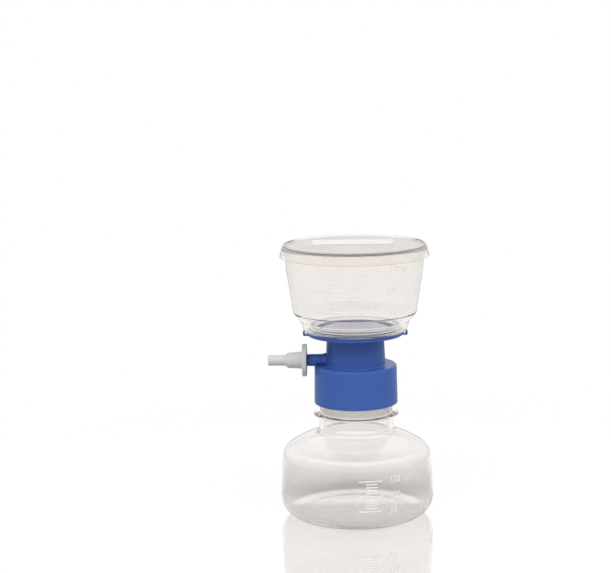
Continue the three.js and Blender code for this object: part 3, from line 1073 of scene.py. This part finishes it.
# %% [markdown]
# ## Opaque plastics and rubber
# The adapter is a satin blue moulding, the connector a duller grey one, and the gasket a pale
# soft rubber. They share the same build: a colour whose tone drifts a little with the flow of
# the plastic, a roughness that haze changes, and a fine grain in the bump.

# %% Solid plastics
SOLID_IOR = 1.4


def solid_plastic(name, colour, worn_colour, roughness, haze_roughness, grain_size, grain_depth):
    """An opaque moulding. worn_colour is what haze turns the colour towards."""
    material = new_material(name)
    tree = material.node_tree
    skin = add_node(tree, "Group",
                    {"Grain size": grain_size, "Wave size": 8.0, "Wave share": 0.35,
                     "Tone change": 0.12}, node_tree=mould_skin)
    haze = add_node(tree, "Group", {"Scuffs": 0.6, "Fingermarks": 0.5},
                    node_tree=handling_haze)
    tone = blend_colours(tree, 1.0, colour, skin.outputs["Tone"], "MULTIPLY")
    worn = maths(tree, "MULTIPLY", haze.outputs["Haze"], 0.35)
    shown = blend_colours(tree, worn, tone, worn_colour)
    gloss = blend_values(tree, haze.outputs["Haze"], roughness, haze_roughness)
    normal = bump(tree, skin.outputs["Height"], grain_depth)
    plastic = add_node(tree, "BsdfPrincipled", {
        "Base Color": shown, "Roughness": gloss, "IOR": SOLID_IOR, "Normal": normal})
    surface(material, plastic)
    return material


adapter_plastic = solid_plastic(
    "Blue adapter plastic", (0.043, 0.112, 0.405, 1), worn_colour=(0.052, 0.125, 0.415, 1),
    roughness=0.28, haze_roughness=0.40, grain_size=0.35, grain_depth=0.012)
connector_plastic = solid_plastic(
    "Grey connector plastic", (0.62, 0.62, 0.615, 1), worn_colour=(0.5, 0.5, 0.49, 1),
    roughness=0.42, haze_roughness=0.55, grain_size=0.3, grain_depth=0.02)
gasket_rubber = solid_plastic(
    "Pale gasket rubber", (0.72, 0.70, 0.66, 1), worn_colour=(0.6, 0.58, 0.55, 1),
    roughness=0.7, haze_roughness=0.8, grain_size=0.15, grain_depth=0.03)

# %% [markdown]
# ## Membrane and plug
# The membrane is white and matt, with pores too fine to see that still give it a faint tooth.
# Where it is sealed to the blue moulding the plastic soaks through and turns it dark blue. Over
# the ribs underneath it is painted a little lighter, so that the gaps between them read as painted
# shade in faint rays. Both are measured from the Z axis in the object's own place. The plug is a
# wad of drawn fibres, so its noise is stretched along the arm.

# %% Membrane
SEAL_BLUR = 0.3


def membrane_sheet():
    """Matt white sheet with a sealed ring, and painted light over the ribs with painted shade
    between them.
    """
    material = new_material("Membrane sheet")
    tree = material.node_tree
    place = object_place(tree)
    axes, radius = axes_and_radius(tree)
    inner = stretch(tree, radius, (SEALED_FROM - SEAL_BLUR) * MM, (SEALED_FROM + SEAL_BLUR) * MM)
    outer = stretch(tree, radius, (SEALED_TO + SEAL_BLUR) * MM, (SEALED_TO - SEAL_BLUR) * MM)
    sealed = maths(tree, "MULTIPLY", inner, outer)
    angle = maths(tree, "ARCTAN2", axes[1], axes[0])
    rays = maths(tree, "COSINE", maths(tree, "MULTIPLY", angle, DRAIN_RIBS))
    # Painted light and shade: lighter over each rib, darker in the gaps between the ribs.
    painted_rib_light = maths(tree, "MULTIPLY", stretch(tree, rays, 0.2, 0.95),
                     stretch(tree, radius, 5 * MM, 12 * MM))
    fibres = noise(tree, place, 0.6, 4.0, 0.65)
    damp = noise(tree, place, 11.0, 2.0)
    white = blend_colours(tree, damp, (0.63, 0.66, 0.76, 1), (0.70, 0.73, 0.81, 1))
    painted_rib_rays = blend_colours(tree, maths(tree, "MULTIPLY", painted_rib_light, 0.35), white,
                           (0.78, 0.80, 0.86, 1))
    toothed = blend_colours(tree, maths(tree, "MULTIPLY", fibres, 0.2), painted_rib_rays,
                            (0.5, 0.5, 0.56, 1))
    shown = blend_colours(tree, maths(tree, "MULTIPLY", sealed, 0.92), toothed,
                          (0.06, 0.09, 0.27, 1))
    sheet = add_node(tree, "BsdfPrincipled", {
        "Base Color": shown, "Roughness": stretch(tree, sealed, 0, 1, 0.85, 0.45),
        "Normal": bump(tree, fibres, 0.03)})
    surface(material, sheet)
    return material


# %% Fibre plug
def fibre_wad():
    """White wad of drawn fibres that run along the arm."""
    material = new_material("Fibre wad")
    tree = material.node_tree
    place = object_place(tree)
    along = add_node(tree, "Mapping", {"Vector": place, "Scale": (1, 7, 7)}).outputs[0]
    fibres = noise(tree, along, 1.2, 5.0, 0.75)
    clumps = noise(tree, place, 1.6, 2.0)
    thin = maths(tree, "MULTIPLY", fibres, clumps)
    colour = blend_colours(tree, stretch(tree, thin, 0.1, 0.4), (0.62, 0.6, 0.56, 1),
                           (0.88, 0.87, 0.84, 1))
    wad = add_node(tree, "BsdfPrincipled", {
        "Base Color": colour, "Roughness": stretch(tree, fibres, 0, 1, 0.85, 1.0),
        "Normal": bump(tree, fibres, 0.15)})
    surface(material, wad)
    return material


membrane_material = membrane_sheet()
plug_material = fibre_wad()
print("materials:", [material.name for material in bpy.data.materials])

# %% [markdown]
# ## Fit the pieces to the frame
# Each piece rides on the body of the node that it stands for, hides that node, and gets its own
# material. Smooth shading is by angle, so the moulded edges stay crisp.

# %% Seat the pieces
seat(bottle, "receiver_bottle", bottle_plastic)
seat_on(bottle_scale, "receiver_bottle", bottle_frosting)
seat(seal, "neck_seal", gasket_rubber)
seat(adapter, "neck_adapter", adapter_plastic)
seat(plug, "port_filter_plug", plug_material)
seat(connector, "tubing_adapter", connector_plastic)
seat(membrane, "membrane_filter", membrane_material)
seat(funnel, "upper_chamber", funnel_plastic)
seat_on(funnel_scale, "upper_chamber", funnel_frosting)
seat(lid, "chamber_lid", lid_plastic)
seat_on(writing_field, "chamber_lid", field_ink)

# %% [markdown]
# ## Floor
# The unit stands on a sheet of glossy white board. Part of what the camera sees in it is a
# mirror image, and the rest is the board's own white with the object's soft shadow. Further
# out the board passes into plain white, so that no horizon shows: there it gives out light of
# strength 1, but only for rays that carry the background to the eye. Rays that light the
# object find plain white board everywhere.
#
# Through the plastic the board is seen from a low angle. Rays that have passed through plastic
# find levels of their own, painted into the board's glow: a painted shadow close behind the
# object, painted light far behind it, a painted pool of light under the base, and a little
# painted light in front. That is what gives clear walls their depth. Rays that glance off the
# object find the far board dimmer, so that it doesn't wash the colour out of the blue. A ray bent
# by a rough surface counts as both kinds, so the choice for bent rays is made last.

# %% Board, as the eye sees it
FLOOR_SIZE = 6.0
BOARD_WHITE = 0.86
MIRROR_SHARE = 0.86
SEEN_WHITE = 0.40               # white and glow add up to 1 in full light
SEEN_GLOW = 0.62
FADE = (0.10, 0.32)             # metres from the middle, as the other ranges here

# %% Board, as seen through plastic or in a reflection
THROUGH_MIRROR = 0.2
THROUGH_WHITE = 0.58
# Painted light and shade on the board for rays through plastic: a painted shadow close behind the
# unit, painted light further back and far behind, a little in front, and a painted pool of light
# under the base.
BACK_GLOW = (0.06, 0.66)        # close behind the unit, and further back
BACK_RANGE = (0.050, 0.155)
FAR_GLOW = 1.18                 # sinks to 1 over the far range
FAR_RANGE = (0.25, 0.50)
FRONT_GLOW = 0.2
FRONT_RANGE = (0.035, 0.020)
POOL_GLOW = 0.60
POOL_EDGE = (0.046, 0.042)
POOL_BACK = (0.008, 0.018)      # the pool is faint in front of this
POOL_FAINT = 0.1
GLANCING_GLOW = 0.5

# %% Floor
floor = added("floor", bpy.ops.mesh.primitive_plane_add, size=FLOOR_SIZE, location=(0, 0, 0))
board = new_material("White board")
tree = board.node_tree
path = add_node(tree, "LightPath").outputs
through, glancing = path["Is Transmission Ray"], path["Is Glossy Ray"]
seen = maths(tree, "MAXIMUM", maths(tree, "MAXIMUM", path["Is Camera Ray"], through), glancing)
from_middle = add_node(tree, "VectorMath", {0: object_place(tree)},
                       operation="LENGTH").outputs["Value"]
behind = add_node(tree, "SeparateXYZ", {0: object_place(tree)}).outputs[1]
far = maths(tree, "MULTIPLY", seen, stretch(tree, from_middle, *FADE))
near = maths(tree, "SUBTRACT", 1.0, far)

# %% The board's white and its glow
seen_white = blend_values(tree, through, SEEN_WHITE, THROUGH_WHITE)
white = maths(tree, "MULTIPLY", blend_values(tree, seen, BOARD_WHITE, seen_white), near)
# A painted pool of light under the base, a painted shadow close behind the unit, and a little
# painted light in front.
pool = maths(tree, "MULTIPLY", stretch(tree, from_middle, *POOL_EDGE, 0.0, POOL_GLOW),
             stretch(tree, behind, *POOL_BACK, POOL_FAINT, 1.0))
through_glow = maths(tree, "ADD", pool, stretch(tree, behind, *BACK_RANGE, *BACK_GLOW))
through_glow = maths(tree, "ADD", through_glow,
                     stretch(tree, behind, *FRONT_RANGE, 0.0, FRONT_GLOW))
seen_glow = blend_values(tree, through, SEEN_GLOW, through_glow)
near_glow = maths(tree, "MULTIPLY", maths(tree, "MULTIPLY", seen, near), seen_glow)
far_glow = blend_values(tree, glancing, 1.0, GLANCING_GLOW)
far_glow = blend_values(tree, through, far_glow,
                        stretch(tree, behind, *FAR_RANGE, FAR_GLOW, 1.0))
glow = maths(tree, "MULTIPLY_ADD", far, far_glow, near_glow)

# %% The board's surface
matt = add_node(tree, "BsdfPrincipled", {
    "Base Color": white, "Roughness": 0.6, "Specular IOR Level": 0.0,
    "Emission Color": WHITE, "Emission Strength": glow})
mirror = add_node(tree, "BsdfGlossy", {"Color": WHITE, "Roughness": 0.02})
share = maths(tree, "MULTIPLY", near,
              blend_values(tree, through, MIRROR_SHARE, THROUGH_MIRROR))
surface(board, add_node(tree, "MixShader",
                        {0: share, 1: matt.outputs[0], 2: mirror.outputs[0]}))
floor.data.materials.append(board)
print(f"board: {FLOOR_SIZE} m wide, plain white from {FADE[1]} m outwards")

# %% [markdown]
# ## World and lamps
# Clear plastic shows its shape only through what it bends into view. The camera sees plain
# white behind the unit. Rays that pass through plastic or glance off it see a room that is
# white at eye level and dimmer overhead, so rims and rounded edges draw soft grey lines. The
# lamps are large and soft: one from each side of the front and one above. They light the
# object but are kept out of its reflections, where each would show as a hard white square in
# the bottle's shoulder.

# %% World
ROOM_LIGHT = 0.22
ROOM_TOP = 0.7
DIM_RANGE = (0.35, 0.95)        # from here up, as the height of a ray of length 1
world = bpy.data.worlds.new("Studio")
bpy.context.scene.world = world
world.use_nodes = True
tree = world.node_tree
tree.nodes.clear()
direction = add_node(tree, "TexCoord").outputs["Generated"]
rise = add_node(tree, "SeparateXYZ", {0: direction}).outputs[2]
room = stretch(tree, rise, *DIM_RANGE, 1.0, ROOM_TOP)
path = add_node(tree, "LightPath").outputs
bent = maths(tree, "MAXIMUM", path["Is Transmission Ray"], path["Is Glossy Ray"])
strength = blend_values(tree, bent, ROOM_LIGHT, room)
strength = blend_values(tree, path["Is Camera Ray"], strength, 1.0)
background = add_node(tree, "Background", {"Color": WHITE, "Strength": strength})
add_node(tree, "OutputWorld", {"Surface": background.outputs[0]})


# %% Lamps
UNIT_MIDDLE = Vector((0, 0, 0.09))


def soft_lamp(name, place, size, power):
    """A square area lamp aimed at the middle of the unit."""
    aim = UNIT_MIDDLE - Vector(place)
    lamp = added(name, bpy.ops.object.light_add, type="AREA", location=place,
                 rotation=aim.to_track_quat("-Z", "Y").to_euler())
    lamp.data.size = size
    lamp.data.energy = power
    lamp.visible_glossy = False
    lamp.visible_transmission = False
    print(f"{name}: {power} W, {aim.length:.2f} m away")


soft_lamp("overhead_lamp", (0.0, -0.4, 1.0), 1.0, 7.6)
soft_lamp("left_lamp", (-0.65, -0.6, 0.9), 0.8, 5.3)
soft_lamp("right_lamp", (0.75, -0.45, 0.85), 0.8, 5.3)

# %% [markdown]
# ## Camera
# The camera stands 0.9 m in front, a little above the lid, and looks down by nine degrees. A
# lens of 91 mm keeps the ellipses flat. It is turned slightly to the left, which puts the
# unit to the right of the middle, and rolled by one degree.

# %% Camera
CAMERA_PLACE = (0, -0.9, 0.28392)
LOOK_DOWN = math.radians(9.2014)
LOOK_LEFT = math.radians(1.8459)
ROLL = math.radians(0.9965)
LENS = 91.01
CLIP_START = 0.05
turn = (Matrix.Rotation(LOOK_LEFT, 4, "Z")
        @ Matrix.Rotation(FULL_TURN / 4 - LOOK_DOWN, 4, "X")
        @ Matrix.Rotation(-ROLL, 4, "Z"))
camera = added("camera", bpy.ops.object.camera_add, location=CAMERA_PLACE,
               rotation=turn.to_euler())
camera.data.lens = LENS
camera.data.clip_start = CLIP_START
bpy.context.scene.camera = camera
bpy.context.scene.view_settings.view_transform = "Standard"

# %% [markdown]

# %% [markdown]
# Light that crosses several walls of clear plastic is bent and mirrored many times over. With
# the usual four mirror bounces, rims and corners would go black, so more are allowed.

# %% Bounces
bpy.context.scene.cycles.max_bounces = 48
bpy.context.scene.cycles.glossy_bounces = 32
bpy.context.scene.cycles.transmission_bounces = 48
